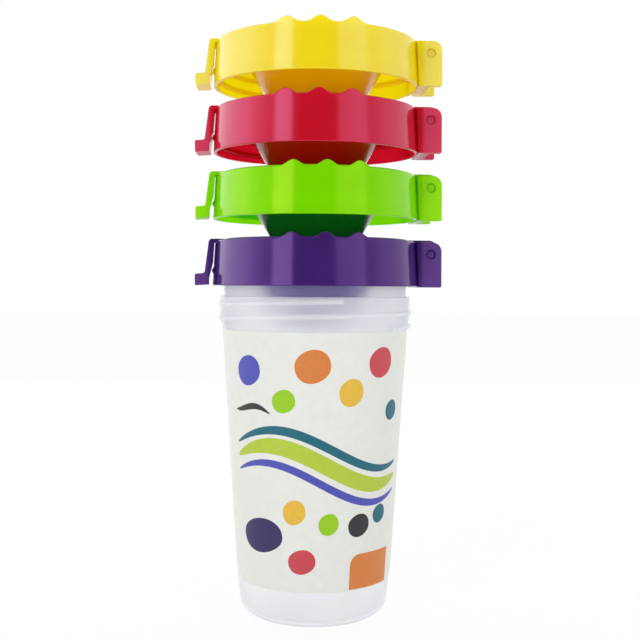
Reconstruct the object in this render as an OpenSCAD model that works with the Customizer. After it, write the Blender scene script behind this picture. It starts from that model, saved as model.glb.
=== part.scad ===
// Paint cups with spill-proof lids, stacked for storage: two nested beakers, the outer one with a
// paper sticker, and four hinged lids. One lid is screwed on the inner beaker and three rest on it.
// Millimetres. The origin is at the middle of the base, +Z is up and the front faces -Y.

/* [Cups] */
// Height of one beaker, from its base to its rim
cup_h = 114.5; // [90:0.5:140]
// Outer radius that the wall's taper would reach at the base
base_r = 26.9; // [24:0.1:29]
// Rounding between the base and the wall
base_corner_r = 6.5; // [3:0.5:9]
// Thickness of the wall
cup_wall = 0.9; // [0.7:0.05:1.1]
// Thickness of the floor
cup_floor_t = 1.3; // [1:0.1:2.5]
// Height of the neck that takes the lid's thread
neck_h = 11.4; // [9:0.1:13]
// How far the neck stands out from the wall below it
neck_step = 1.18; // [0.9:0.01:1.5]
// Height over which the wall widens to the neck
neck_flare_h = 5; // [2:0.1:7]
// Gap between the walls of nested cups
nest_gap = 0.25; // [0.15:0.05:0.4]

/* [Sticker] */
// Gap between the sticker's lower edge and the base
label_z0 = 13.4; // [8:0.1:30]
// Gap between the sticker's upper edge and the neck
label_top_gap = 0.6; // [0.3:0.1:8]
// Angle from the front to the sticker's left edge
label_left_deg = 76; // [50:1:85]
// Angle from the front to the sticker's right edge
label_right_deg = 82; // [50:1:85]
// Radius of the sticker's corners
label_corner_r = 5; // [2:0.5:10]
// Thickness of the paper
label_t = 0.15; // [0.1:0.01:0.3]

/* [Lid collar] */
// Outer radius of the collar at its lower edge
collar_r = 37.5; // [36.5:0.1:40]
// Room for the threads between the neck and the skirt
thread_room = 1.2; // [1:0.05:1.6]
// How much narrower the collar is at its rim
collar_taper = 0.9; // [0:0.1:1.2]
// Thickness of the skirt at its lower edge
skirt_t = 1.4; // [1.2:0.05:1.6]
// Height of the collar at its sides
collar_h = 16.2; // [15:0.1:20]
// How far the rim stands above the deck
rim_h = 0.8; // [0.5:0.1:1.5]
// Thickness of the rim that the bumps stand on
rim_t = 1.8; // [1.2:0.1:2.2]
// Thickness of the deck
deck_t = 1.4; // [1:0.1:2]
// Height of the bumps over the rim
bump_h = 2.1; // [1:0.1:3]
// Distance between the bumps
bump_pitch = 11.3; // [9:0.1:13]
// Gap between the cup's rim and the deck
cup_seat_gap = 0.3; // [0.2:0.05:0.5]
// Distance from one lid to the next in the stack
lid_pitch = 24.1; // [23:0.1:28]

/* [Funnel] */
// Width of the flange round the top of the cone
flange_w = 4.3; // [3.8:0.1:6]
// How far the funnel hangs below the collar
funnel_depth = 15; // [12:0.5:16]
// How much the cone widens for each millimetre of height
funnel_slope = 0.6; // [0.5:0.01:0.6]
// Wall of the cone, measured level
funnel_wall = 1.4; // [1:0.1:1.8]
// Thickness of the funnel's flange
flange_t = 1.6; // [1:0.1:2]
// Width of the seal ring that holds the flange
seal_t = 1.2; // [0.9:0.1:1.3]
// How far the bead under the flange reaches in
bead_reach = 0.7; // [0.4:0.1:1]

/* [Cap] */
// Thickness of the cap's plate
plate_t = 1.2; // [1:0.1:1.4]
// Wall of the cap's dish, measured level
dish_wall = 1.3; // [1:0.1:1.6]
// Thickness of the dish's floor
dish_floor_t = 1.2; // [1:0.1:1.5]
// Gap between the dish and the funnel, measured level
dish_gap = 0.5; // [0.4:0.05:0.8]
// Width of the latch strap
strap_w = 12.7; // [8:0.1:16]
// Thickness of the strap at its lower end
strap_t = 1.7; // [1.2:0.1:2]
// How much thicker the strap is at its upper end
strap_root_t = 0.4; // [0.2:0.1:1.6]
// Gap between the strap and the collar at its lower end
strap_gap = 1.2; // [1.1:0.1:2]
// How far the finger tab stands out from the strap
tab_reach = 3.4; // [2:0.1:6]
// Height of the finger tab
tab_h = 4.2; // [3:0.1:6]
// How far the latch nub stands out from the collar
nub_reach = 0.5; // [0.3:0.05:0.6]

/* [Hinge] */
// Radius of the hinge pin
pin_r = 1.65; // [1.2:0.05:1.9]
// How far out of the collar's lower edge the pin's axis lies
pin_out = 3.4; // [3.3:0.1:6]
// Height of the pin's axis
pin_z = 11.6; // [10.5:0.1:12]
// Distance across the two ears
bracket_w = 22; // [16:0.1:24]
// Thickness of an ear
ear_t = 3; // [2:0.1:4]
// How far the ears reach past the pin's axis
ear_out = 4.0; // [3.2:0.1:5]
// Rounding of the ears' upper corner
ear_corner_r = 3.3; // [2:0.1:3.5]
// Radius of the cap's knuckle
knuckle_r = 3.1; // [2.6:0.1:3.2]
// How far the web between the ears reaches out of the collar
web_out = 3.4; // [2.5:0.1:4]
// Height of the web's top over the collar's lower edge
web_h = 4.8; // [3:0.1:5]
// Gap between the knuckle and each ear
knuckle_gap = 0.35; // [0.25:0.05:0.6]

/* [Hidden] */
$fn = 180;
e = 1;                    // how far a cut runs past the face that it opens
stack_gap = 0.3;          // between a funnel's foot and the cap below it
seat_gap = 0.2;           // between faces that rest on each other
flange_gap = 0.2;         // round the flange that snaps in the collar
pin_fit = 0.06;           // radial running clearance of the knuckle on its pin
ear_fit = 0.05;           // radial clearance of the pin in the ears
pin_recess = 0.5;         // from an ear's outer face to the pin's end
rim_gap = 0.4;            // between the cap's plate and the rim round it
deck_hole_gap = 0.8;      // between the dish and the deck's hole
paste_gap = 0.03;         // between the sticker and the wall behind it
edge = 0.3;               // chamfer on the collar's lower edge
bead_edge = 0.4;          // chamfer under the bead that holds the flange
ear_low = 0.2;            // how far the ears' tops lie under the rim
bracket_drop = 0.3;       // how far the ears reach below the collar
root = 5;                 // how deep the bracket, arm and strap reach in, to join what carries them
nub_z = 5.4;              // height of the latch nub
nub_half = 1.2;           // half its height at the collar
strap_top_gap = 0.25;      // between the strap's upper end and the collar
strap_bow = 0.5;          // how much that gap widens halfway down
strap_foot = 0.3;         // height of the strap's lower end
far = 60;                 // wider than a lid

// Cups
neck_z = cup_h - neck_h;
neck_r = collar_r - skirt_t - thread_room;
shoulder_r = neck_r - neck_step;     // of the wall just under the neck
taper = (shoulder_r - base_r) / neck_z;
rim_in = 0.4;             // how far the mouth's edge is drawn in
nest_step = (cup_wall + nest_gap) / taper;
function cup_r(z) = base_r + taper * z;

// Lids
deck_top = collar_h - rim_h;
deck_z = deck_top - deck_t;
lid_z = nest_step + cup_h + cup_seat_gap - deck_z;   // lower edge of the first collar
seal_r = neck_r - cup_wall - rim_in - flange_gap;    // seal ring's outer radius
flange_r = seal_r - seal_t - flange_gap;
flange_top = deck_z - flange_gap;
flange_z = flange_top - flange_t;
bead_top = flange_z - flange_gap;
bead_h = 1.2;                                        // height of the bead under the flange
plate_z = deck_top + seat_gap;
plate_r = collar_r - collar_taper - rim_t - rim_gap;
funnel_foot = -funnel_depth;
funnel_r = flange_r - flange_w - funnel_slope * flange_z;    // cone's outer radius at height 0
dish_out = funnel_r - funnel_wall - dish_gap;        // dish's outer radius at height 0
deck_hole_r = dish_out + funnel_slope * plate_z + deck_hole_gap;
dish_floor_top = lid_pitch + funnel_foot - stack_gap;
dish_z = dish_floor_top - dish_floor_t;
function collar_rz(z) = collar_r - collar_taper * z / collar_h;
function cone(z) = funnel_slope * z;

// Hinge
pin_x = collar_r + pin_out;
slot_w = bracket_w - 2 * ear_t;
knuckle_w = slot_w - 2 * knuckle_gap;
ear_top = collar_h - ear_low;

// Each lid's colour, funnel colour, place in the stack and turn about Z
purple = ["#68489a", "#3c1c64", 0, 5.4];
green = ["#7cd81a", "#0c4614", 1, 6.2];
pink = ["#d23a64", "#820f0a", 2, 1.6];
yellow = ["#f0dc3c", "#e09600", 3, 2.2];

// Half of a beaker's section: outside up to the rim and inside down to the floor
function arc(cx, cz, r, a0, a1, n) =
    [for (i = [0:n]) [cx + r * cos(a0 + (a1 - a0) * i / n), cz + r * sin(a0 + (a1 - a0) * i / n)]];

function beaker_outside() = let (c = base_corner_r, lean = atan(taper)) concat(
    [[0, 0]],
    arc(cup_r(c) - c, c, c, -90, -lean, 8),
    [[cup_r(neck_z), neck_z], [neck_r, neck_z + neck_flare_h],
     [neck_r, cup_h - rim_in], [neck_r - rim_in, cup_h]]);

function beaker_inside() = let (c = base_corner_r - cup_wall, z = cup_floor_t) concat(
    [[neck_r - cup_wall, cup_h], [neck_r - cup_wall, neck_z + neck_flare_h],
     [cup_r(neck_z) - cup_wall, neck_z]],
    arc(cup_r(z + c) - cup_wall - c, z + c, c, -atan(taper), -90, 8),
    [[0, z]]);

module beaker() {
    color([0.93, 0.94, 0.95, 0.6])
        rotate_extrude() polygon(concat(beaker_outside(), beaker_inside()));
}

module outer_cup() { beaker(); }

module inner_cup() { translate([0, 0, nest_step]) beaker(); }

// Sticker wrapped on the outer beaker's front, with rounded corners
module label() {
    z0 = label_z0;
    z1 = neck_z - label_top_gap;
    sweep = label_left_deg + label_right_deg;
    color("#ecede8") difference() {
        rotate([0, 0, -90 - label_left_deg]) rotate_extrude(angle = sweep) polygon([
            [cup_r(z0) + paste_gap, z0], [cup_r(z0) + paste_gap + label_t, z0],
            [cup_r(z1) + paste_gap + label_t, z1], [cup_r(z1) + paste_gap, z1]]);
        for (up = [-1, 1], side = [-1, 1])
            label_corner(side, up, up > 0 ? z1 : z0);
    }
}

// What is cut away outside one of the sticker's rounded corners
module label_corner(side, up, z) {
    r = label_corner_r;
    centre_z = z - up * r;
    inset = asin(r / cup_r(centre_z));
    at = side > 0 ? label_right_deg - inset : inset - label_left_deg;
    rotate([0, 0, at - 90]) translate([0, 0, centre_z]) difference() {
        translate([0, side > 0 ? 0 : -2 * r, up > 0 ? 0 : -2 * r]) cube([far, 2 * r, 2 * r]);
        translate([-e, 0, 0]) rotate([0, 90, 0]) cylinder(r = r, h = far + 2 * e, $fn = 60);
    }
}

// Height of the rim over the deck's edge, seen from the front: three bumps with round valleys
function bump(x) = abs(x) > 1.5 * bump_pitch ? 0
    : bump_h * pow(0.5 + 0.5 * cos(360 * x / bump_pitch), 1.5);

module rim_profile() {
    reach = 1.5 * bump_pitch;
    rotate([90, 0, 0]) linear_extrude(2 * far, center = true) polygon(concat(
        [[-far, -far], [-far, collar_h]],
        [for (i = [0:36]) let (x = -reach + 2 * reach * i / 36) [x, collar_h + bump(x)]],
        [[far, collar_h], [far, -far]]));
}

// Ears and web that carry the pin, as seen from the front
module ear_outline() {
    x1 = pin_x + ear_out;
    difference() {
        translate([collar_r - root, -bracket_drop])
            square([x1 - collar_r + root, ear_top + bracket_drop]);
        translate([x1 - ear_corner_r, ear_top - ear_corner_r]) difference() {
            square(ear_corner_r + e);
            circle(ear_corner_r);
        }
    }
}

module bracket() {
    for (side = [-1, 1])
        translate([0, side * (bracket_w - ear_t) / 2, 0]) rotate([90, 0, 0])
            linear_extrude(ear_t, center = true) ear_outline();
    translate([collar_r - root, -slot_w / 2 - e, -bracket_drop])
        cube([root + web_out, slot_w + 2 * e, web_h + bracket_drop]);
}

module collar() {
    difference() {
        union() {
            intersection() {
                rotate_extrude() polygon([
                    [0, 0], [collar_r - edge, 0], [collar_r, edge],
                    [collar_rz(collar_h), collar_h],
                    [collar_rz(collar_h), collar_h + bump_h + e], [0, collar_h + bump_h + e]]);
                rim_profile();
            }
            bracket();
            latch_nub();
        }
        collar_hollow();
        notch(-1, strap_w + 2 * knuckle_gap);
        notch(1, slot_w);
        translate([pin_x, 0, pin_z]) rotate([90, 0, 0])
            cylinder(r = pin_r + ear_fit, h = bracket_w + 2 * e, center = true, $fn = 60);
    }
}

// Everything inside the collar that is open: above the deck, its hole and below it
module collar_hollow() {
    inner = collar_r - skirt_t;
    rotate_extrude() {
        translate([0, deck_top]) square([collar_rz(collar_h) - rim_t, far]);
        translate([0, -e]) square([deck_hole_r, far]);
        polygon([[0, -e], [inner, -e], [inner, edge], [inner - collar_taper / 3, deck_z],
                 [seal_r, deck_z], [seal_r, bead_top - bead_h],
                 [flange_r + flange_gap - bead_reach + bead_edge, bead_top - bead_h],
                 [flange_r + flange_gap - bead_reach, bead_top - bead_h + bead_edge],
                 [flange_r + flange_gap - bead_reach, bead_top],
                 [flange_r + flange_gap, bead_top], [flange_r + flange_gap, deck_z], [0, deck_z]]);
    }
}

// Low place in the rim, where the cap's strap or hinge arm passes
module notch(side, w) {
    translate([side > 0 ? 0 : -far, -w / 2, deck_top]) cube([far, w, far]);
}

// Low ridge on the collar that the strap snaps over
module latch_nub() {
    face = nub_half / 4;
    translate([-collar_rz(nub_z), 0, nub_z]) rotate([90, 0, 0])
        linear_extrude(strap_w * 0.6, center = true) polygon([
            [e, -nub_half], [0, -nub_half], [-nub_reach, -face], [-nub_reach, face],
            [0, nub_half], [e, nub_half]]);
}

// Cone that hangs from its flange and lets a brush in, but holds paint back when the cup falls
module funnel() {
    outer = funnel_r;
    inner = funnel_r - funnel_wall;
    rotate_extrude() polygon([
        [inner + cone(funnel_foot), funnel_foot], [outer + cone(funnel_foot), funnel_foot],
        [outer + cone(flange_z), flange_z], [flange_r, flange_z], [flange_r, flange_top],
        [inner + cone(flange_top), flange_top]]);
}

// Hinged cap: plate, dish that plugs the funnel, knuckle on the right and latch strap on the left
module cap() {
    difference() {
        union() {
            cap_plate();
            hinge_arm();
            strap();
        }
        cap_dish_hollow();
        translate([pin_x, 0, pin_z]) rotate([90, 0, 0])
            cylinder(r = pin_r + pin_fit, h = bracket_w, center = true, $fn = 60);
    }
}

module cap_plate() {
    rotate_extrude() polygon([
        [0, dish_z], [dish_out + cone(dish_z), dish_z], [dish_out + cone(plate_z), plate_z],
        [plate_r, plate_z], [plate_r, plate_z + plate_t], [0, plate_z + plate_t]]);
}

module cap_dish_hollow() {
    r = dish_out - dish_wall;
    top = plate_z + plate_t + e;
    rotate_extrude() polygon([
        [0, dish_floor_top], [r + cone(dish_floor_top), dish_floor_top], [r + cone(top), top],
        [0, top]]);
}

module hinge_arm() {
    top = plate_z + plate_t;
    x0 = plate_r - root;
    rotate([90, 0, 0]) linear_extrude(knuckle_w, center = true) {
        translate([pin_x, pin_z]) circle(knuckle_r, $fn = 90);
        difference() {
            union() {
                translate([x0, plate_z]) square([pin_x - x0, plate_t]);
                translate([pin_x - knuckle_r, pin_z]) square([2 * knuckle_r, top - pin_z]);
            }
            translate([pin_x, top - knuckle_r]) difference() {
                square(knuckle_r + e);
                circle(knuckle_r, $fn = 90);
            }
        }
    }
}

// Strap that comes over the rim, hangs outside the collar and ends in a finger tab
module strap() {
    top = plate_z + plate_t;
    corner = strap_t / 2;
    in_top = collar_rz(collar_h) + strap_top_gap;
    in_low = collar_r + strap_gap;
    out_top = in_top + strap_t + strap_root_t;
    out_low = in_low + strap_t;
    mirror([1, 0, 0]) rotate([90, 0, 0]) linear_extrude(strap_w, center = true) polygon([
        [plate_r - root, plate_z], [in_top, plate_z], [in_top + strap_bow, collar_h / 2],
        [in_low, strap_foot + tab_h * 0.6], [in_low, strap_foot],
        [out_low + tab_reach, 0], [out_low + tab_reach, strap_foot + tab_h - corner / 2],
        [out_low, strap_foot + tab_h], [out_top, top - corner], [out_top - corner, top],
        [plate_r - root, top]]);
}

module hinge_pin() {
    translate([pin_x, 0, pin_z]) rotate([90, 0, 0])
        cylinder(r = pin_r, h = bracket_w - 2 * pin_recess, center = true, $fn = 60);
}

// Puts a lid's piece at its place in the stack, turned as that lid is
module in_stack(lid) {
    translate([0, 0, lid_z + lid[2] * lid_pitch]) rotate([0, 0, lid[3]]) children();
}

module lid_collar(lid) { color(lid[0]) in_stack(lid) collar(); }
module lid_funnel(lid) { color(lid[1]) in_stack(lid) funnel(); }
module lid_cap(lid) { color(lid[0]) in_stack(lid) cap(); }
module lid_pin(lid) { color(lid[0]) in_stack(lid) hinge_pin(); }

outer_cup();
label();
inner_cup();
lid_collar(purple);  // purple_collar
lid_funnel(purple);  // purple_funnel
lid_cap(purple);  // purple_cap
lid_pin(purple);  // purple_hinge_pin
lid_collar(green);  // green_collar
lid_funnel(green);  // green_funnel
lid_cap(green);  // green_cap
lid_pin(green);  // green_hinge_pin
lid_collar(pink);  // pink_collar
lid_funnel(pink);  // pink_funnel
lid_cap(pink);  // pink_cap
lid_pin(pink);  // pink_hinge_pin
lid_collar(yellow);  // yellow_collar
lid_funnel(yellow);  // yellow_funnel
lid_cap(yellow);  // yellow_cap
lid_pin(yellow);  // yellow_hinge_pin
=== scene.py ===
# Nested paint cups with a stack of hinged lids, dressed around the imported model.
# Lengths in the dictionaries are millimetres unless a note says otherwise.
import math

import bpy
from mathutils import Matrix, Vector


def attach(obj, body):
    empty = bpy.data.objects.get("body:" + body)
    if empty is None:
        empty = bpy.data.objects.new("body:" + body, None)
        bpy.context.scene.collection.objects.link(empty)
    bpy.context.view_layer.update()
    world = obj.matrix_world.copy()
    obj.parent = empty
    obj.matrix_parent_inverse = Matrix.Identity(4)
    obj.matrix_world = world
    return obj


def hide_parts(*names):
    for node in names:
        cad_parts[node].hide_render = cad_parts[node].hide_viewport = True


mm = 0.001
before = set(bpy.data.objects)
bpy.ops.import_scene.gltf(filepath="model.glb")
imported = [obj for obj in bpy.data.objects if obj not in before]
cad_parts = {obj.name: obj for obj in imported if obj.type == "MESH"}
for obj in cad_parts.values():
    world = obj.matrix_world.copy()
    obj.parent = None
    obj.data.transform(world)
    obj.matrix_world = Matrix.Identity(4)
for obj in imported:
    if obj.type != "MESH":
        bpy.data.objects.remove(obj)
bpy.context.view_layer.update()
scene = bpy.context.scene
scene.view_settings.view_transform = "Standard"
bpy.ops.object.select_all(action="DESELECT")
print("frame loaded")

axis = 0.001                # radius that stands in for the axis where an outline is turned
stack = {
    "nestStep": 17.385,     # inner cup over the outer one
    "lidZ": 118.185,        # lower edge of the purple collar
    "pitch": 24.1,          # from one lid to the next
}
lids = {                    # place in the stack, and turn about Z in degrees
    "purple": {"level": 0, "turn": 5.4},
    "green": {"level": 1, "turn": 6.2},
    "pink": {"level": 2, "turn": 1.6},
    "yellow": {"level": 3, "turn": 2.2},
}
bodies = {                  # body that carries each lid's collar, funnel and cap
    "purple": ("purple_ring", "purple_insert", "purple_flap"),
    "green": ("green_lid", "green_lid", "green_flap"),
    "pink": ("pink_lid", "pink_lid", "pink_flap"),
    "yellow": ("yellow_lid", "yellow_lid", "yellow_flap"),
}


# Camera: level but for a slight roll, at the height of the lowest collar, as in the photograph
view = {
    "distance": 386,
    "height": 118.2,
    "focal": 1050,          # pixels of the 640 pixel frame
    "horizon": 286,         # pixel row that the camera's height falls on
    "axisColumn": 315,      # pixel column of the stack's axis
    "roll": -0.35,          # degrees
    "frame": 640,
    "sensor": 36,
}


def addCamera():
    data = bpy.data.cameras.new("camera")
    data.sensor_width = view["sensor"]
    data.lens = view["focal"] * view["sensor"] / view["frame"]
    data.shift_y = (view["horizon"] - view["frame"] / 2) / view["frame"]
    data.shift_x = (view["frame"] / 2 - view["axisColumn"]) / view["frame"]
    data.clip_start = 0.01
    camera = bpy.data.objects.new("camera", data)
    scene.collection.objects.link(camera)
    camera.location = (0, -view["distance"] * mm, view["height"] * mm)
    camera.rotation_euler = (math.radians(90), math.radians(view["roll"]), 0)
    scene.camera = camera
    print("camera placed")


addCamera()


# Colours and nodes
def linear(code):
    parts = [int(code[i:i + 2], 16) / 255 for i in (1, 3, 5)]
    return [c / 12.92 if c <= 0.04045 else ((c + 0.055) / 1.055) ** 2.4 for c in parts] + [1.0]


def addNode(tree, kind, settings=None, links=None):
    node = tree.nodes.new(kind)
    for name, value in (settings or {}).items():
        if hasattr(node, name):
            setattr(node, name, value)
        else:
            node.inputs[name].default_value = value
    for name, source in (links or {}).items():
        tree.links.new(source, node.inputs[name])
    return node


def newMaterial(name, settings):
    material = bpy.data.materials.new(name)
    material.use_nodes = True
    shader = material.node_tree.nodes["Principled BSDF"]
    for socket, value in settings.items():
        shader.inputs[socket].default_value = value
    return material, material.node_tree, shader


def farFaceClear(tree, near):
    # light crosses the thin wall once: the face that is met from inside the wall lets it all pass
    clear = addNode(tree, "ShaderNodeBsdfTransparent", {"Color": linear("#ffffff")})
    face = addNode(tree, "ShaderNodeNewGeometry")
    surface = addNode(tree, "ShaderNodeMixShader", links={"Fac": face.outputs["Backfacing"]})
    tree.links.new(near.outputs[0], surface.inputs[1])
    tree.links.new(clear.outputs[0], surface.inputs[2])
    tree.links.new(surface.outputs[0], tree.nodes["Material Output"].inputs["Surface"])


def mottled(tree, low, high, scale, detail=2.0):
    # slow changes between two close shades
    place = addNode(tree, "ShaderNodeTexCoord")
    noise = addNode(tree, "ShaderNodeTexNoise", {"Scale": scale, "Detail": detail},
                    {"Vector": place.outputs["Object"]})
    ramp = addNode(tree, "ShaderNodeValToRGB", links={"Fac": noise.outputs["Fac"]})
    for element, position, colour in zip(ramp.color_ramp.elements, (0.3, 0.7), (low, high)):
        element.position = position
        element.color = colour
    return ramp


# Injection-moulded polypropylene in a full colour: glossy and thin enough to glow with the light
# behind it, with faint flow marks that show as slow changes of shade
moulded = {
    "roughness": 0.15,
    "ior": 1.49,
    "glow": 0.2,            # share of the colour that comes from light behind the wall
    "insideGlow": 0.75,     # the same for a skirt seen from inside, where little other light comes
    "funnelGlow": 0.1,      # and for the darker funnels
    "skirtMiddle": 0.03635,     # metres, between the skirt's inner and outer face
    "skirtBlend": 0.0001,
    "flowScale": 60,        # per metre, marks about 16 mm apart
    "rippleScale": 160,     # per metre, the slight waviness of a thin moulded wall
    "rippleHeight": 0.0002,     # metres
    "rippleStrength": 0.15,
    "satinAndSheenFrom": 0.0376,    # metres to the side where strap and bracket begin to turn rough, with a paler painted sheen
    "satinAndSheenTo": 0.0392,
    # painted sheen: share of the sheen tint mixed into the colour of strap and bracket
    "paintedSheen": 0.07,
    "satinRoughness": 0.35,
}


def mouldedPlastic(name, low, high, gloss="#ffffff", glow=moulded["glow"], inside=None):
    m = moulded
    material, tree, shader = newMaterial(name, {
        "Roughness": m["roughness"], "IOR": m["ior"], "Specular IOR Level": 1.0,
        "Specular Tint": linear(gloss)})
    ramp = mottled(tree, linear(low), linear(high), m["flowScale"])
    place = addNode(tree, "ShaderNodeTexCoord")
    # strap and bracket have the rougher face of an etched mould, and a paler sheen is painted into
    # their colour
    axes = addNode(tree, "ShaderNodeSeparateXYZ", links={"Vector": place.outputs["Object"]})
    out = addNode(tree, "ShaderNodeMath", {"operation": "ABSOLUTE"})
    tree.links.new(axes.outputs["X"], out.inputs[0])
    paintedSheenShare = addNode(tree, "ShaderNodeMapRange", {
        "From Min": m["satinAndSheenFrom"], "From Max": m["satinAndSheenTo"], "To Max": m["paintedSheen"]},
        {"Value": out.outputs[0]})
    rough = addNode(tree, "ShaderNodeMapRange", {
        "From Min": m["satinAndSheenFrom"], "From Max": m["satinAndSheenTo"], "To Min": m["roughness"],
        "To Max": m["satinRoughness"]}, {"Value": out.outputs[0]})
    colour = addNode(tree, "ShaderNodeMix", {"data_type": "RGBA"})
    tree.links.new(paintedSheenShare.outputs["Result"], colour.inputs[0])
    tree.links.new(ramp.outputs["Color"], colour.inputs[6])
    colour.inputs[7].default_value = linear(gloss)
    tree.links.new(colour.outputs[2], shader.inputs["Base Color"])
    tree.links.new(rough.outputs["Result"], shader.inputs["Roughness"])
    ripple = addNode(tree, "ShaderNodeTexNoise", {"Scale": m["rippleScale"], "Detail": 1.0},
                     {"Vector": place.outputs["Object"]})
    waves = addNode(tree, "ShaderNodeBump", {
        "Strength": m["rippleStrength"], "Distance": m["rippleHeight"]},
        {"Height": ripple.outputs["Fac"]})
    tree.links.new(waves.outputs["Normal"], shader.inputs["Normal"])
    through = addNode(tree, "ShaderNodeBsdfTranslucent", links={"Color": colour.outputs[2]})
    near = addNode(tree, "ShaderNodeMixShader", {"Fac": glow})
    tree.links.new(shader.outputs[0], near.inputs[1])
    tree.links.new(through.outputs[0], near.inputs[2])
    if inside:              # a collar's skirt glows more on its inner face
        level = addNode(tree, "ShaderNodeVectorMath", {"operation": "MULTIPLY"})
        tree.links.new(place.outputs["Object"], level.inputs[0])
        level.inputs[1].default_value = (1, 1, 0)
        radius = addNode(tree, "ShaderNodeVectorMath", {"operation": "LENGTH"})
        tree.links.new(level.outputs["Vector"], radius.inputs[0])
        share = addNode(tree, "ShaderNodeMapRange", {
            "From Min": m["skirtMiddle"] - m["skirtBlend"],
            "From Max": m["skirtMiddle"] + m["skirtBlend"],
            "To Min": inside, "To Max": glow}, {"Value": radius.outputs["Value"]})
        tree.links.new(share.outputs["Result"], near.inputs["Fac"])
    farFaceClear(tree, near)
    return material


lidColours = {      # two close shades of each lid, and the tint of its reflections, which also colours the painted sheen on strap and bracket
    "purple": ("#3e1e6c", "#462676", "#dca4ff"),
    "green": ("#7ce200", "#84ea02", "#ffe858"),
    "pink": ("#ce0a20", "#d6102a", "#ffbcff"),
    "yellow": ("#f8e206", "#fce80c", "#c8f0ff"),
}
lidPlastic = {name: mouldedPlastic(name + "Polypropylene", *colours)
              for name, colours in lidColours.items()}
collarPlastic = {name: mouldedPlastic(name + "CollarPolypropylene", *colours,
                                      inside=moulded["insideGlow"])
                 for name, colours in lidColours.items()}
funnelColours = {   # name of each funnel's colour, and its two close shades
    "purple": ("deepPurple", "#46269c", "#4e2ca6"),
    "green": ("deepGreen", "#107420", "#148026"),
    "pink": ("deepRed", "#bc1008", "#c6140c"),
    "yellow": ("orange", "#fcce06", "#ffd40a"),
}
funnelPlastic = {name: mouldedPlastic(colour + "Polypropylene", low, high, glow=moulded["funnelGlow"])
                 for name, (colour, low, high) in funnelColours.items()}

# Natural polypropylene with no pigment: a thin wall that passes nearly all light but blurs it, with
# a little milk and a soft gloss on the near face, so what lies behind shows only as a soft tint
natural = {
    "milk": {"inner": 0.1, "outer": 0.42},      # share of light that the near face sends back
    "milkLow": "#f0f2f7",
    "milkHigh": "#fafbfd",
    "milkScale": 90,        # per metre
    "roughness": 1.0,       # of the blur
    "blurIor": 1.12,        # low, because the far face of the thin wall bends light back
    "coat": 0.5,            # weight of the soft gloss
    "gloss": 0.14,          # and its roughness
    "glossIor": 1.49,
    "clear": "#feffff",     # what the wall lets through where it is met squarely
    "edge": "#cad0d7",      # and where light runs along it and crosses more plastic
    "edgePower": 3.0,       # how late it darkens towards the edge
}


def naturalPlastic(name, milkiness):
    n = natural
    material, tree, shader = newMaterial(name, {
        "Roughness": n["roughness"], "IOR": n["blurIor"], "Transmission Weight": 1.0,
        "Coat Weight": n["coat"], "Coat Roughness": n["gloss"], "Coat IOR": n["glossIor"]})
    ramp = mottled(tree, linear(n["milkLow"]), linear(n["milkHigh"]), n["milkScale"])
    milk = addNode(tree, "ShaderNodeBsdfDiffuse", links={"Color": ramp.outputs["Color"]})
    slant = addNode(tree, "ShaderNodeLayerWeight", {"Blend": 0.5})
    longer = addNode(tree, "ShaderNodeMath", {"operation": "POWER"})
    tree.links.new(slant.outputs["Facing"], longer.inputs[0])
    longer.inputs[1].default_value = n["edgePower"]
    passed = addNode(tree, "ShaderNodeMix", {"data_type": "RGBA"})
    tree.links.new(longer.outputs[0], passed.inputs[0])
    passed.inputs[6].default_value = linear(n["clear"])
    passed.inputs[7].default_value = linear(n["edge"])
    tree.links.new(passed.outputs[2], shader.inputs["Base Color"])
    near = addNode(tree, "ShaderNodeMixShader", {"Fac": milkiness})
    tree.links.new(shader.outputs[0], near.inputs[1])
    tree.links.new(milk.outputs[0], near.inputs[2])
    farFaceClear(tree, near)
    return material


frosted = {which: naturalPlastic(which + "NaturalPolypropylene", milk)
           for which, milk in natural["milk"].items()}

# Coated paper: white with a warm cast and a weak satin sheen. Its fibres are too fine to show, so
# they are drawn as a mottle about 2.5 mm across
coated = {
    "low": "#e3e4de", "high": "#e7e8e3", "roughness": 0.42, "ior": 1.45, "sheen": 0.2,
    "scale": 400,           # per metre
    "detail": 4.0,
}
# Offset print on the paper: flat ink with a faint unevenness about 1.1 mm across
offset = {
    "weak": 0.93,           # share of the colour where the ink is thinnest
    "roughness": 0.4, "ior": 1.45,
    "scale": 900,           # per metre
    "detail": 3.0,
}
inkColours = {
    "violet": "#4d4fb4", "lime": "#96cc04", "orange": "#da803c", "amber": "#e8b93a", "red": "#cb4550",
    "teal": "#0d6678", "charcoal": "#2b2c2e", "leaf": "#b4cc3a", "plum": "#33245c",
}


def coatedPaper():
    material, tree, shader = newMaterial("coatedPaper", {
        "Roughness": coated["roughness"], "IOR": coated["ior"], "Specular IOR Level": coated["sheen"]})
    ramp = mottled(tree, linear(coated["low"]), linear(coated["high"]), coated["scale"],
                   coated["detail"])
    tree.links.new(ramp.outputs["Color"], shader.inputs["Base Color"])
    return material


def printedInk(name, code):
    material, tree, shader = newMaterial(name, {"Roughness": offset["roughness"], "IOR": offset["ior"]})
    full = linear(code)
    weak = [v * offset["weak"] for v in full[:3]] + [1]
    ramp = mottled(tree, weak, full, offset["scale"], offset["detail"])
    tree.links.new(ramp.outputs["Color"], shader.inputs["Base Color"])
    return material


paper = coatedPaper()
inks = {name: printedInk(name + "Ink", code) for name, code in inkColours.items()}
print("materials made")


# Modelling helpers
def editMode():
    bpy.ops.object.mode_set(mode="EDIT")
    bpy.ops.mesh.select_all(action="SELECT")


def objectMode():
    bpy.ops.object.mode_set(mode="OBJECT")


def activate(piece):
    bpy.ops.object.select_all(action="DESELECT")
    piece.select_set(True)
    bpy.context.view_layer.objects.active = piece


def applyModifiers(piece):
    activate(piece)
    for modifier in list(piece.modifiers):
        bpy.ops.object.modifier_apply(modifier=modifier.name)


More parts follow.
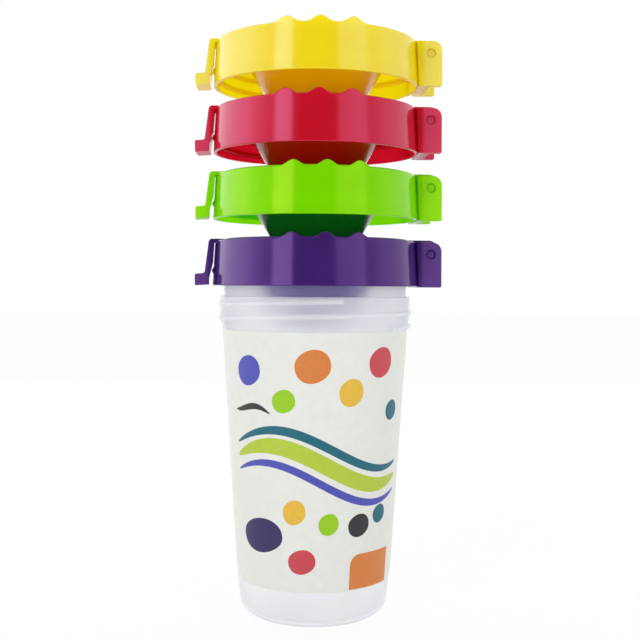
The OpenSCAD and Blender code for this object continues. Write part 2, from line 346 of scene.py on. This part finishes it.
def smoothed(piece, degrees, weighted=False):
    activate(piece)
    bpy.ops.object.shade_smooth_by_angle(angle=math.radians(degrees))
    if weighted:            # large flat faces keep their shade beside small bevels
        modifier = piece.modifiers.new("evenShade", "WEIGHTED_NORMAL")
        modifier.keep_sharp = True
        applyModifiers(piece)


def rounded(corners, steps=3):
    # corners are (r, z) or (r, z, fillet); a fillet becomes an arc that is tangent to both sides
    points = []
    count = len(corners)
    for i, corner in enumerate(corners):
        at = Vector(corner[:2])
        if len(corner) < 3:
            points.append(at)
            continue
        before = (Vector(corners[i - 1][:2]) - at).normalized()
        after = (Vector(corners[(i + 1) % count][:2]) - at).normalized()
        half = before.angle(after) / 2
        reach = corner[2] / math.tan(half)
        middle = at + (before + after).normalized() * (corner[2] / math.sin(half))
        start = at + before * reach - middle
        end = at + after * reach - middle
        turn = start.angle_signed(end)
        for k in range(steps + 1):
            points.append(middle + Matrix.Rotation(-turn * k / steps, 2) @ start)
    return [(p.x, p.y) for p in points]


def turned(name, outline, segments, closed=True):
    # a ring of vertices is extruded from point to point of the section, and widened as it goes
    radius, height = outline[0]
    bpy.ops.mesh.primitive_circle_add(vertices=segments, radius=radius * mm)
    piece = bpy.context.object
    piece.name = name
    editMode()
    bpy.ops.transform.translate(value=(0, 0, height * mm))
    rest = outline[1:] + ([outline[0]] if closed else [])
    for nextRadius, nextHeight in rest:
        bpy.ops.mesh.extrude_edges_move(
            TRANSFORM_OT_translate={"value": (0, 0, (nextHeight - height) * mm)})
        grow = nextRadius / radius
        bpy.ops.transform.resize(value=(grow, grow, 1), center_override=(0, 0, 0))
        radius, height = nextRadius, nextHeight
    bpy.ops.mesh.select_all(action="SELECT")
    bpy.ops.mesh.remove_doubles(threshold=5e-6)
    objectMode()
    return piece


def outwards(piece):
    activate(piece)
    editMode()
    bpy.ops.mesh.normals_make_consistent(inside=False)
    objectMode()


def softEdges(piece, bevel, steps):
    modifier = piece.modifiers.new("edges", "BEVEL")
    modifier.width = bevel * mm
    modifier.segments = steps
    modifier.limit_method = "ANGLE"
    modifier.angle_limit = math.radians(40)
    applyModifiers(piece)


def plate(name, outline, width, bevel=0.0):
    # an outline in the XZ plane, given thickness along Y and soft edges
    bpy.ops.mesh.primitive_circle_add(vertices=len(outline), radius=mm)
    piece = bpy.context.object
    piece.name = name
    for vertex, (x, z) in zip(piece.data.vertices, outline):
        vertex.co = (x * mm, -width / 2 * mm, z * mm)
    editMode()
    bpy.ops.mesh.edge_face_add()
    bpy.ops.mesh.select_all(action="SELECT")
    bpy.ops.mesh.extrude_region_move(TRANSFORM_OT_translate={"value": (0, width * mm, 0)})
    bpy.ops.mesh.select_all(action="SELECT")
    bpy.ops.mesh.normals_make_consistent(inside=False)
    objectMode()
    if bevel:
        softEdges(piece, bevel, 2)
    return piece


def moveMesh(piece, matrix):
    piece.data.transform(matrix)
    piece.data.update()


def cut(piece, tool, operation="DIFFERENCE"):
    modifier = piece.modifiers.new("cut", "BOOLEAN")
    modifier.operation = operation
    modifier.solver = "EXACT"
    modifier.object = tool
    applyModifiers(piece)
    bpy.data.objects.remove(tool)


def rod(name, radius, length, at, bevel=0.0):
    # a cylinder along Y
    bpy.ops.mesh.primitive_cylinder_add(vertices=64, radius=radius * mm, depth=length * mm)
    piece = bpy.context.object
    piece.name = name
    moveMesh(piece, Matrix.Translation([v * mm for v in at]) @ Matrix.Rotation(math.pi / 2, 4, "X"))
    if bevel:
        softEdges(piece, bevel, 3)
    return piece


def joined(pieces, name):
    activate(pieces[0])
    for piece in pieces:
        piece.select_set(True)
    bpy.ops.object.join()
    pieces[0].name = name
    return pieces[0]


def dressed(piece, name, material, body, node):
    piece.name = name
    piece.data.name = name
    piece.data.materials.clear()
    piece.data.materials.append(material)
    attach(piece, body)
    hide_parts(node)


def copied(source, name):
    piece = source.copy()
    piece.data = source.data.copy()
    piece.name = name
    scene.collection.objects.link(piece)
    return piece


# Helical ridge: a small section, swept by the Screw modifier and closed at its ends
def helix(name, section, lead, turns, start, top):
    bpy.ops.mesh.primitive_circle_add(vertices=len(section), radius=mm)
    piece = bpy.context.object
    piece.name = name
    for vertex, (r, z) in zip(piece.data.vertices, section):
        vertex.co = (r * mm, 0, z * mm)
    modifier = piece.modifiers.new("sweep", "SCREW")
    modifier.angle = math.radians(360 * turns)
    modifier.screw_offset = lead * turns * mm
    stepsPerTurn = 128
    modifier.steps = modifier.render_steps = int(stepsPerTurn * turns)
    modifier.use_merge_vertices = False
    applyModifiers(piece)
    editMode()
    bpy.ops.mesh.select_all(action="DESELECT")
    bpy.ops.mesh.select_non_manifold()
    bpy.ops.mesh.edge_face_add()
    bpy.ops.mesh.select_all(action="SELECT")
    bpy.ops.mesh.normals_make_consistent(inside=False)
    objectMode()
    lowest = top - lead * turns
    moveMesh(piece, Matrix.Rotation(math.radians(start - 360 * turns), 4, "Z"))
    moveMesh(piece, Matrix.Translation((0, 0, lowest * mm)))
    return piece


# Beaker: tapered wall, rounded foot and a neck with one thread
cup = {
    "height": 114.5, "baseRadius": 26.9, "shoulderRadius": 33.72, "neckZ": 103.1,
    "neckRadius": 34.9, "flare": 5.0, "corner": 6.5, "wall": 0.9, "floor": 1.3,
    "footRadius": 22.4, "footFillet": 1.2, "heelZ": 2.4, "heelIn": 0.35, "heelFillet": 5.2,
    "shoulderFillet": 1.5, "lipFillet": 0.4,
    "ringZ": (20, 60),      # two rings of vertices that break up the long wall
    "threadLead": 5.0, "threadTurns": 1.9, "threadTop": 113.0, "threadReach": 0.62,
    "threadRoot": 0.9, "threadFlank": 0.35, "threadSoft": 0.15, "threadSunk": 0.3,
    "threadStart": -74.3,   # degrees about Z of the thread's upper end
}


def cupRadius(z):
    return cup["baseRadius"] + (cup["shoulderRadius"] - cup["baseRadius"]) * z / cup["neckZ"]


def beaker(name, lift, body, node, plastic):
    c = cup
    inside = c["neckRadius"] - c["wall"]
    neckLow = c["neckZ"] + c["flare"]
    soft, lip = c["shoulderFillet"], c["lipFillet"]
    rings = [(cupRadius(z), z) for z in c["ringZ"]]
    outline = rounded([
        (axis, 0), (c["footRadius"], 0, c["footFillet"]),
        (cupRadius(0) - c["heelIn"], c["heelZ"], c["heelFillet"]), *rings,
        (cupRadius(c["neckZ"]), c["neckZ"], soft), (c["neckRadius"], neckLow, soft),
        (c["neckRadius"], c["height"], lip), (inside, c["height"], lip), (inside, neckLow, soft),
        (cupRadius(c["neckZ"]) - c["wall"], c["neckZ"], soft),
        *[(radius - c["wall"], z) for radius, z in reversed(rings)],
        (cupRadius(c["floor"]) - c["wall"], c["floor"], c["corner"] - c["wall"]),
        (axis, c["floor"])], 5)
    piece = turned(name, outline, 192, closed=False)
    sunk, crest = c["neckRadius"] - c["threadSunk"], c["neckRadius"] + c["threadReach"]
    flank = crest - c["threadSoft"]
    ridge = helix(name + "Thread", [
        (sunk, -c["threadRoot"]), (flank, -c["threadFlank"]), (crest, 0),
        (flank, c["threadFlank"]), (sunk, c["threadRoot"])],
        c["threadLead"], c["threadTurns"], c["threadStart"], c["threadTop"])
    piece = joined([piece, ridge], name)
    moveMesh(piece, Matrix.Translation((0, 0, lift * mm)))
    outwards(piece)
    smoothed(piece, 30)
    dressed(piece, name, plastic, body, node)


beaker("outerCup", 0, "outer_beaker", "outer_cup", frosted["outer"])
beaker("innerCup", stack["nestStep"], "inner_beaker", "inner_cup", frosted["inner"])
print("cups modelled")


# Sticker: a thin sheet on the cup's cone. Shapes are made flat, x along the arc and z up, and
# then wrapped; what is printed lies on the paper as very thin ink
sticker = {
    "z0": 13.4, "z1": 102.5,
    "left": 76, "right": 82,    # degrees from the front to its ends
    "corner": 5, "thickness": 0.15,
    "paste": 0.03,          # from the cup to the paper
    "ink": 0.03,
    "columns": 316, "rows": 24, "inkRows": 8,
}
# A generic print on it: a plain block, a flick of the brush, three strokes that sweep across and
# scattered dabs of paint. An x is degrees round the cup from the front, and z a height
artwork = {
    "block": {"x": (26, 64), "margin": 0.4, "height": 12.6, "corner": 4, "columns": 60},
    "flick": {"x": (-58, -28), "z": 75.0, "swell": 3.2, "wavelength": 9, "half": 1.1, "taper": 0.6,
              "columns": 60},
    "wave": {"x": (-58, 68), "swell": 7, "turn": 5.2, "taper": 0.45, "columns": 120},
    "strokes": (            # name, ink, height, thickness and phase of the three waves
        ("strokeTeal", "teal", 62, 3.4, 0.2),
        ("strokeLime", "leaf", 56.5, 6.5, 0.35),
        ("strokeViolet", "violet", 50.5, 3.0, 0.5)),
    "dabs": (               # ink, x, z, width and height
        ("violet", -44, 89, 11, 10.5), ("lime", -19, 79, 8.5, 8), ("orange", -1, 91, 12.5, 11.5),
        ("amber", 23, 82, 9, 9.5), ("red", 44, 92, 11, 10.5), ("teal", 57, 75, 7, 7),
        ("plum", -38, 32, 17, 12), ("amber", -13, 41, 8, 8.5), ("red", -8, 24, 9.5, 8.5),
        ("lime", 10, 37, 7, 7.5), ("charcoal", 32, 36, 8.5, 8), ("teal", 50, 39, 6.5, 6.5)),
    "lean": 0.12,           # how much fuller a dab is on one side
    "dabColumns": 48,
}


def wrapped(piece, lift):
    for vertex in piece.data.vertices:
        x, z = vertex.co.x / mm, vertex.co.z / mm
        angle = math.radians(x)
        radius = cupRadius(z) + lift
        vertex.co = (radius * math.sin(angle) * mm, -radius * math.cos(angle) * mm, vertex.co.z)


def strip(name, x0, x1, lower, upper, columns, rows):
    # a grid between two curves lower(x) and upper(x); x is in degrees round the cup
    bpy.ops.mesh.primitive_grid_add(x_subdivisions=columns, y_subdivisions=rows, size=2)
    piece = bpy.context.object
    piece.name = name
    for vertex in piece.data.vertices:
        u, v = (vertex.co.x + 1) / 2, (vertex.co.y + 1) / 2
        x = x0 + (x1 - x0) * u
        vertex.co = (x * mm, 0, (lower(x) + (upper(x) - lower(x)) * v) * mm)
    return piece


def thickened(piece, thickness):
    modifier = piece.modifiers.new("thickness", "SOLIDIFY")
    modifier.thickness = thickness * mm
    modifier.offset = 1
    applyModifiers(piece)
    outwards(piece)
    smoothed(piece, 35)


def roundedEnd(x, x0, x1, corner, radius):
    # how far a rounded corner draws an edge in at x, with x in degrees on a cup of that radius
    near = min(x - x0, x1 - x) * math.pi / 180 * radius
    if near >= corner:
        return 0
    return corner - math.sqrt(max(0, corner ** 2 - (corner - max(0, near)) ** 2))


def makeSticker():
    s = sticker
    low = cupRadius(s["z0"])
    high = cupRadius(s["z1"])
    sheet = strip("label", -s["left"], s["right"],
                  lambda x: s["z0"] + roundedEnd(x, -s["left"], s["right"], s["corner"], low),
                  lambda x: s["z1"] - roundedEnd(x, -s["left"], s["right"], s["corner"], high),
                  s["columns"], s["rows"])
    wrapped(sheet, s["paste"])
    thickened(sheet, s["thickness"])
    dressed(sheet, "stickerPaper", paper, "outer_beaker", "label")


def printed(name, ink, x0, x1, edge, columns):
    # edge(-1) and edge(1) give the height of the lower and upper edge at x
    patch = strip(name, x0, x1, edge(-1), edge(1), columns, sticker["inkRows"])
    wrapped(patch, sticker["paste"] + sticker["thickness"])
    thickened(patch, sticker["ink"])
    patch.data.materials.append(inks[ink])
    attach(patch, "outer_beaker")


def brushBody(u, taper):
    # width of a stroke at the share u of its length, with thin ends
    return math.sin(math.pi * min(1, max(0, u))) ** taper


def printBlock():
    b = artwork["block"]
    x0, x1 = b["x"]
    low = sticker["z0"]

    def edge(side):
        if side < 0:
            return lambda x: low + b["margin"]
        # only the upper left corner is round, so the other end is put out of reach
        return lambda x: low + b["height"] - roundedEnd(x, x0, x1 + 180, b["corner"], cupRadius(low))
    printed("inkBlock", "orange", x0, x1, edge, b["columns"])


def printFlick():
    f = artwork["flick"]
    x0, x1 = f["x"]

    def edge(side):
        def at(x):
            u = (x - x0) / (x1 - x0)
            middle = f["z"] + f["swell"] * math.sin((x - x0) / f["wavelength"]) * u
            return middle + side * f["half"] * brushBody(u, f["taper"])
        return at
    printed("strokeCharcoal", "charcoal", x0, x1, edge, f["columns"])


def printWave(name, ink, base, thickness, phase):
    w = artwork["wave"]
    x0, x1 = w["x"]

    def edge(side):
        def at(x):
            u = (x - x0) / (x1 - x0)
            middle = base + w["swell"] * math.sin(u * w["turn"] + phase)
            return middle + side * thickness * brushBody(u, w["taper"]) / 2
        return at
    printed(name, ink, x0, x1, edge, w["columns"])


def printDab(name, ink, x, z, wide, tall):
    half = math.degrees(wide / 2 / cupRadius(z))

    def edge(side):
        def at(v):
            u = max(-1.0, min(1.0, (v - x) / half))
            return z + side * tall / 2 * math.sqrt(1 - u * u) * (1 + artwork["lean"] * side * u)
        return at
    printed(name, ink, x - half, x + half, edge, artwork["dabColumns"])


def makePrint():
    printBlock()
    printFlick()
    for stroke in artwork["strokes"]:
        printWave(*stroke)
    for i, values in enumerate(artwork["dabs"]):
        printDab(f"dab{i + 1}", *values)


makeSticker()
makePrint()
print("sticker modelled")


# Lid collar: skirt, deck, scalloped rim, hinge bracket and latch nub
collar = {
    "radius": 37.5, "taper": 0.9, "skirt": 1.4, "height": 16.2, "deckTop": 15.4, "deck": 14.0,
    "rim": 1.8, "holeRadius": 28.64, "sealOut": 33.4, "sealIn": 32.2,
    "bead": 31.5, "beadTop": 12.0, "beadLow": 10.8, "segments": 360,
    "bump": 2.1, "bumpPitch": 11.3,     # height and spacing of the crest's three bumps
    "notch": 13.4,          # width of the low place under the strap
    "notchX": 36, "notchLength": 12, "notchHeight": 6,
    "nubZ": 5.4, "nubReach": 0.5, "nubWidth": 7.6, "nubHalf": 1.2, "nubFlat": 0.3, "nubSunk": 0.5,
    "threadLead": 5.0, "threadTurns": 1.5, "threadTop": 9.4, "threadReach": 0.55,
    "threadSunk": 0.25, "threadRoot": 1.0, "threadFlank": 0.3,
    "threadStart": -120,    # degrees about Z of the thread's upper end
}
hinge = {
    "x": 40.9, "z": 11.6, "pin": 1.65, "bore": 1.7, "width": 22.0, "ear": 3.0, "out": 44.9,
    "top": 16.0, "drop": -0.3, "corner": 3.3, "web": 40.9, "webTop": 4.8, "knuckle": 3.1,
    "knuckleWidth": 15.3, "knuckleFit": 0.06,
    "pinBevel": 0.45, "recess": 1.0,    # rounding of the pin's ends, and how deep they lie
    "rootLow": 1.0, "rootTop": 1.8,     # how far ears and web reach into the skirt
    "sink": 0.6, "sinkDepth": 0.45, "sinkPlace": 0.3,       # countersink round the pin's end
}


def bump(x):
    pitch = collar["bumpPitch"]
    if abs(x) > 1.5 * pitch:
        return 0
    return collar["bump"] * (0.5 + 0.5 * math.cos(2 * math.pi * x / pitch)) ** 1.5


def modelEar(side):
    c, h = collar, hinge
    middle = side * (h["width"] - h["ear"]) / 2
    ear = plate("ear", rounded([
        (c["radius"] - h["rootLow"], h["drop"]), (h["out"], h["drop"], 0.6),
        (h["out"], h["top"], h["corner"]), (c["radius"] - h["rootTop"], h["top"])], 6), h["ear"], 0.35)
    moveMesh(ear, Matrix.Translation((0, middle * mm, 0)))
    cut(ear, rod("hole", h["bore"], 8, (h["x"], middle, h["z"])))
    sink = turned("sink", [
        (axis, 0), (h["bore"] + 0.05, 0), (h["bore"] + h["sink"], h["sinkDepth"]),
        (h["bore"] + h["sink"], 1), (axis, 1)], 64, closed=False)
    outwards(sink)
    face = side * (h["width"] / 2 - h["sinkPlace"])
    moveMesh(sink, Matrix.Translation((h["x"] * mm, face * mm, h["z"] * mm))
             @ Matrix.Rotation(-side * math.pi / 2, 4, "X"))
    cut(ear, sink)
    return ear


def modelCollar():
    c, h = collar, hinge
    top = c["radius"] - c["taper"]
    wall = c["radius"] - c["skirt"]
    crest = top - c["rim"]
    piece = turned("collar", rounded([
        (c["radius"], 0, 0.35), (top, c["height"], 0.5), (crest, c["height"], 0.5),
        (crest, c["deckTop"], 0.25), (c["holeRadius"], c["deckTop"], 0.3),
        (c["holeRadius"], c["deck"], 0.3), (c["sealIn"], c["deck"], 0.2),
        (c["sealIn"], c["beadTop"]), (c["bead"], c["beadTop"], 0.2),
        (c["bead"] + 0.2, c["beadLow"], 0.3), (c["sealOut"], c["beadLow"], 0.3),
        (c["sealOut"], c["deck"], 0.2), (wall - 0.3, c["deck"], 0.4), (wall, 0, 0.3)]), c["segments"])
    # the crest's top ring of vertices rises into three bumps at the front and three at the back
    for vertex in piece.data.vertices:
        radius = math.hypot(vertex.co.x, vertex.co.y) / mm
        if radius > crest - 0.1 and vertex.co.z / mm > c["height"] - 0.55:
            vertex.co.z += bump(vertex.co.x / mm) * mm
    outwards(piece)
    webWidth = h["width"] - 2 * h["ear"]
    for side, width in ((-1, c["notch"]), (1, webWidth)):
        bpy.ops.mesh.primitive_cube_add(size=1)
        tool = bpy.context.object
        low = c["deckTop"] + c["notchHeight"] / 2
        moveMesh(tool, Matrix.Translation((side * c["notchX"] * mm, 0, low * mm))
                 @ Matrix.Diagonal((c["notchLength"] * mm, width * mm, c["notchHeight"] * mm, 1)))
        cut(piece, tool)
    ears = [modelEar(side) for side in (-1, 1)]
    root = c["radius"] - h["rootLow"]
    web = plate("web", rounded([
        (root, h["drop"]), (h["web"], h["drop"], 0.5), (h["web"], h["webTop"], 0.5),
        (root, h["webTop"])]), webWidth + 0.6)
    face = -(c["radius"] - c["taper"] * c["nubZ"] / c["height"])
    sunk, tip = face + c["nubSunk"], face - c["nubReach"]
    nub = plate("nub", [(x, c["nubZ"] + rise) for x, rise in (
        (sunk, -c["nubHalf"]), (face, -c["nubHalf"]), (tip, -c["nubFlat"]), (tip, c["nubFlat"]),
        (face, c["nubHalf"]), (sunk, c["nubHalf"]))], c["nubWidth"], 0.15)
    for part in ears + [web, nub]:
        cut(piece, part, "UNION")
    sunk, flank = wall + c["threadSunk"], wall - c["threadReach"]
    ridge = helix("collarThread", [
        (sunk, -c["threadRoot"]), (flank, -c["threadFlank"]), (flank, c["threadFlank"]),
        (sunk, c["threadRoot"])], c["threadLead"], c["threadTurns"], c["threadStart"], c["threadTop"])
    piece = joined([piece, ridge], "collar")
    outwards(piece)
    smoothed(piece, 32, True)
    return piece


# Funnel: a cone hung from its flange, with a thick rounded foot
funnel = {
    "radius": 20.38, "slope": 0.6, "wall": 1.4, "foot": -15.0, "flange": 32.0, "flangeTop": 13.8,
    "flangeLow": 12.2,
}


def modelFunnel():
    f = funnel

    def cone(z):
        return f["radius"] + f["slope"] * z
    piece = turned("funnel", rounded([
        (cone(f["foot"]), f["foot"], 0.5), (cone(f["flangeLow"]), f["flangeLow"], 0.6),
        (f["flange"], f["flangeLow"], 0.2), (f["flange"], f["flangeTop"], 0.2),
        (cone(f["flangeTop"]) - f["wall"], f["flangeTop"], 0.6),
        (cone(f["foot"]) - f["wall"], f["foot"], 0.5)]), 224)
    outwards(piece)
    smoothed(piece, 35)
    return piece


# Cap: plate with a dish that plugs the funnel, a knuckle at the hinge and the latch strap
cap = {
    "plate": 15.6, "plateTop": 16.8, "plateRadius": 34.4, "dish": 18.48, "dishWall": 1.3,
    "dishLow": 7.6, "dishFloor": 8.8, "slope": 0.6,
    "root": 5,              # how far arm and strap reach into the plate
    "strapWidth": 12.7, "strapIn": 36.85, "strapLow": 38.7, "strapThick": 1.7, "strapRoot": 0.4,
    "strapKnee": 8.1, "strapFoot": 0.3, "tabReach": 3.4, "tabTop": 4.5,
}


def modelArm():
    c, h = cap, hinge
    root = c["plateRadius"] - c["root"]
    left, right, low = h["x"] - h["knuckle"], h["x"] + h["knuckle"], h["z"] - h["knuckle"]
    arm = plate("arm", rounded([
        (root, c["plate"]), (left, c["plate"], 0.8), (left, low, 3.0), (right, low, 3.0),
        (right, c["plateTop"], 3.0), (root, c["plateTop"])], 8), h["knuckleWidth"], 0.25)
    cut(arm, rod("bore", h["pin"] + h["knuckleFit"], 30, (h["x"], 0, h["z"])))
    return arm


def modelStrap():
    c = cap
    root = -c["plateRadius"] + c["root"]
    topOut = c["strapIn"] + c["strapThick"] + c["strapRoot"]
    lowOut = c["strapLow"] + c["strapThick"]
    tab = -lowOut - c["tabReach"]
    return plate("strap", rounded([
        (root, c["plate"]), (-c["strapIn"], c["plate"], 0.5), (-c["strapIn"] - 0.5, c["strapKnee"], 3),
        (-c["strapLow"], c["strapFoot"] + 2.5, 1), (-c["strapLow"], c["strapFoot"], 0.3),
        (tab, 0, 0.4), (tab - 0.1, c["tabTop"] - 0.35, 0.5), (-lowOut, c["tabTop"], 0.8),
        (-topOut, c["plateTop"] - 0.75, 1.0), (-topOut + 0.75, c["plateTop"]),
        (root, c["plateTop"])], 4), c["strapWidth"], 0.3)


def modelCap():
    c = cap

    def cone(z):
        return c["dish"] + c["slope"] * z
    piece = turned("cap", rounded([
        (axis, c["dishLow"]), (cone(c["dishLow"]), c["dishLow"], 1.2),
        (cone(c["plate"]), c["plate"], 0.3), (c["plateRadius"], c["plate"], 0.3),
        (c["plateRadius"], c["plateTop"], 0.45),
        (cone(c["plateTop"]) - c["dishWall"], c["plateTop"], 0.6),
        (cone(c["dishFloor"]) - c["dishWall"], c["dishFloor"], 1.0), (axis, c["dishFloor"])]), 224,
        closed=False)
    outwards(piece)
    cut(piece, modelArm(), "UNION")
    cut(piece, modelStrap(), "UNION")
    outwards(piece)
    smoothed(piece, 32, True)
    return piece


def modelPin():
    h = hinge
    piece = rod("pin", h["pin"], h["width"] - 2 * h["recess"], (h["x"], 0, h["z"]), h["pinBevel"])
    smoothed(piece, 40)
    return piece


def placeLids():
    models = {
        "collar": modelCollar(), "funnel": modelFunnel(), "cap": modelCap(), "hinge_pin": modelPin()}
    print("lid pieces modelled")
    for name, lid in lids.items():
        height = stack["lidZ"] + lid["level"] * stack["pitch"]
        place = Matrix.Translation((0, 0, height * mm)) \
            @ Matrix.Rotation(math.radians(lid["turn"]), 4, "Z")
        ring, insert, flap = bodies[name]
        rides = {"collar": ring, "funnel": insert, "cap": flap, "hinge_pin": ring}
        for part, body in rides.items():
            piece = copied(models[part], f"{name}_{part}_dressed")
            moveMesh(piece, place)
            plastic = {"collar": collarPlastic, "funnel": funnelPlastic}.get(part, lidPlastic)[name]
            dressed(piece, piece.name, plastic, body, f"{name}_{part}")
    for piece in models.values():
        bpy.data.objects.remove(piece)
    print("lids placed")


placeLids()


# Studio: white surroundings, two upright soft boxes, a weak panel behind the stack that only
# lights what is matt or milky, and a pale floor
studio = {
    "fill": 0.57,           # strength of the surroundings in front, as light
    "behind": 1.0,          # and behind the stack
    "fillBlend": (-0.6, 0.6),       # where one goes over to the other, as a share of the depth
    "front": 0.04,          # how bright the dark side behind the camera looks in a reflection
    "sides": (2.3, 1.2),    # and the lit backdrop, at the left and at the right
    "frontBlend": (-0.8, -0.1),
    "away": 900,            # from the stack to a lamp
    "lampZ": 200,
    "height": 1100,         # of a soft box
    # soft boxes: from and to, in degrees from the camera's axis, and radiance
    "boxes": {"leftBox": (-47, -24, 2.6), "rightBox": (24, 58, 1.15)},
    "panel": (0.75, 1800, 2200),    # radiance, width and height
}
ground = {
    "size": 8000, "below": 0.1, "colour": "#f4f4f4", "roughness": 0.6,
    "glow": 0.92,           # share of plain white that the camera sees, so that it stays pale
}


def addWorld():
    world = bpy.data.worlds.new("studio")
    scene.world = world
    world.use_nodes = True
    tree = world.node_tree
    tree.nodes.clear()
    path = addNode(tree, "ShaderNodeLightPath")
    # a reflection shows the white backdrop on the far side and the dark room on the near side
    place = addNode(tree, "ShaderNodeTexCoord")
    axes = addNode(tree, "ShaderNodeSeparateXYZ", links={"Vector": place.outputs["Generated"]})
    left, right = studio["sides"]
    across = addNode(tree, "ShaderNodeMapRange", {
        "From Min": -1, "From Max": 1, "To Min": left, "To Max": right}, {"Value": axes.outputs["X"]})
    near, far = studio["frontBlend"]
    ramp = addNode(tree, "ShaderNodeMapRange", {
        "From Min": near, "From Max": far, "To Min": studio["front"]},
        {"Value": axes.outputs["Y"], "To Max": across.outputs["Result"]})
    near, far = studio["fillBlend"]
    light = addNode(tree, "ShaderNodeMapRange", {
        "From Min": near, "From Max": far, "To Min": studio["fill"], "To Max": studio["behind"]},
        {"Value": axes.outputs["Y"]})
    plain = addNode(tree, "ShaderNodeBackground", {"Color": linear("#ffffff")},
                    {"Strength": light.outputs["Result"]})
    mirror = addNode(tree, "ShaderNodeBackground", {"Color": linear("#ffffff")},
                     {"Strength": ramp.outputs["Result"]})
    white = addNode(tree, "ShaderNodeBackground", {"Color": linear("#ffffff"), "Strength": 1.0})
    seen = addNode(tree, "ShaderNodeMath", {"operation": "MAXIMUM"})
    tree.links.new(path.outputs["Is Camera Ray"], seen.inputs[0])
    tree.links.new(path.outputs["Is Transmission Ray"], seen.inputs[1])
    glossy = addNode(tree, "ShaderNodeMixShader", links={"Fac": path.outputs["Is Glossy Ray"]})
    tree.links.new(plain.outputs[0], glossy.inputs[1])
    tree.links.new(mirror.outputs[0], glossy.inputs[2])
    mix = addNode(tree, "ShaderNodeMixShader", links={"Fac": seen.outputs[0]})
    tree.links.new(glossy.outputs[0], mix.inputs[1])
    tree.links.new(white.outputs[0], mix.inputs[2])
    addNode(tree, "ShaderNodeOutputWorld", links={"Surface": mix.outputs[0]})


def addLamp(name, degrees, radiance, width, height):
    # a flat panel, square to the line from the stack to its middle
    data = bpy.data.lights.new(name, "AREA")
    data.shape = "RECTANGLE"
    data.size, data.size_y = width * mm, height * mm
    data.energy = radiance * math.pi * width * height * mm * mm
    lamp = bpy.data.objects.new(name, data)
    scene.collection.objects.link(lamp)
    turn = math.radians(degrees)
    away = studio["away"] * mm
    lamp.location = (away * math.sin(turn), -away * math.cos(turn), studio["lampZ"] * mm)
    lamp.rotation_euler = (math.radians(90), 0, turn)
    return lamp


def addLamps():
    for name, (start, end, radiance) in studio["boxes"].items():
        width = 2 * studio["away"] * math.tan(math.radians(end - start) / 2)
        addLamp(name, (start + end) / 2, radiance, width, studio["height"])
    radiance, width, height = studio["panel"]
    panel = addLamp("backPanel", 180, radiance, width, height)
    panel.visible_camera = panel.visible_glossy = panel.visible_transmission = False


def addFloor():
    bpy.ops.mesh.primitive_plane_add(size=ground["size"] * mm)
    floor = bpy.context.object
    floor.name = "floor"
    moveMesh(floor, Matrix.Translation((0, 0, -ground["below"] * mm)))
    material, tree, shader = newMaterial("paleFloor", {
        "Base Color": linear(ground["colour"]), "Roughness": ground["roughness"]})
    path = addNode(tree, "ShaderNodeLightPath")
    glow = addNode(tree, "ShaderNodeEmission", {"Color": linear("#ffffff"), "Strength": 1.0})
    seen = addNode(tree, "ShaderNodeMath", {"operation": "MAXIMUM"})
    tree.links.new(path.outputs["Is Camera Ray"], seen.inputs[0])
    tree.links.new(path.outputs["Is Transmission Ray"], seen.inputs[1])
    share = addNode(tree, "ShaderNodeMath", {"operation": "MULTIPLY"})
    tree.links.new(seen.outputs[0], share.inputs[0])
    share.inputs[1].default_value = ground["glow"]
    mix = addNode(tree, "ShaderNodeMixShader", links={"Fac": share.outputs[0]})
    tree.links.new(shader.outputs[0], mix.inputs[1])
    tree.links.new(glow.outputs[0], mix.inputs[2])
    tree.links.new(mix.outputs[0], tree.nodes["Material Output"].inputs["Surface"])
    floor.data.materials.append(material)


addWorld()
addLamps()
addFloor()
print("studio lit")
